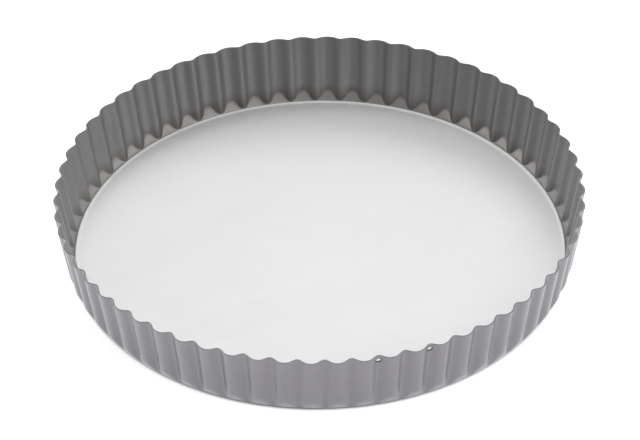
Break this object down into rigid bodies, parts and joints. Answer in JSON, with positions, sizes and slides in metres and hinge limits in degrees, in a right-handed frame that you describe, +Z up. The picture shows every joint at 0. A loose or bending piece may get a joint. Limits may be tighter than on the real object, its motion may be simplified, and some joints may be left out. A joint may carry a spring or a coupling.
{
  "type": "tart pan",
  "caption": "Round loose-bottomed tart pan: a flared, fluted ring with a narrow inner flange, and a flat disc base with an upturned lip that lifts out.",
  "frame": {"origin": "centre of the face the ring stands on", "axes": "+Z up along the pan's axis, out of its open top; -Y through the inward crest of the wall midway between the two small holes under the rim"},
  "size_m": [0.253, 0.2526, 0.0351],
  "materials": {
    "ring_coating": "satin",
    "base_metal": "satin"
  },
  "bodies": {
    "ring": {"fluted_ring": "ring_coating"},
    "base": {"loose_base": "base_metal"}
  },
  "joints": [
    {"name": "base_lift", "type": "slide", "parent": "ring", "child": "base", "axis": [0, 0, 1], "range_m": [0, 0.05]}
  ]
}
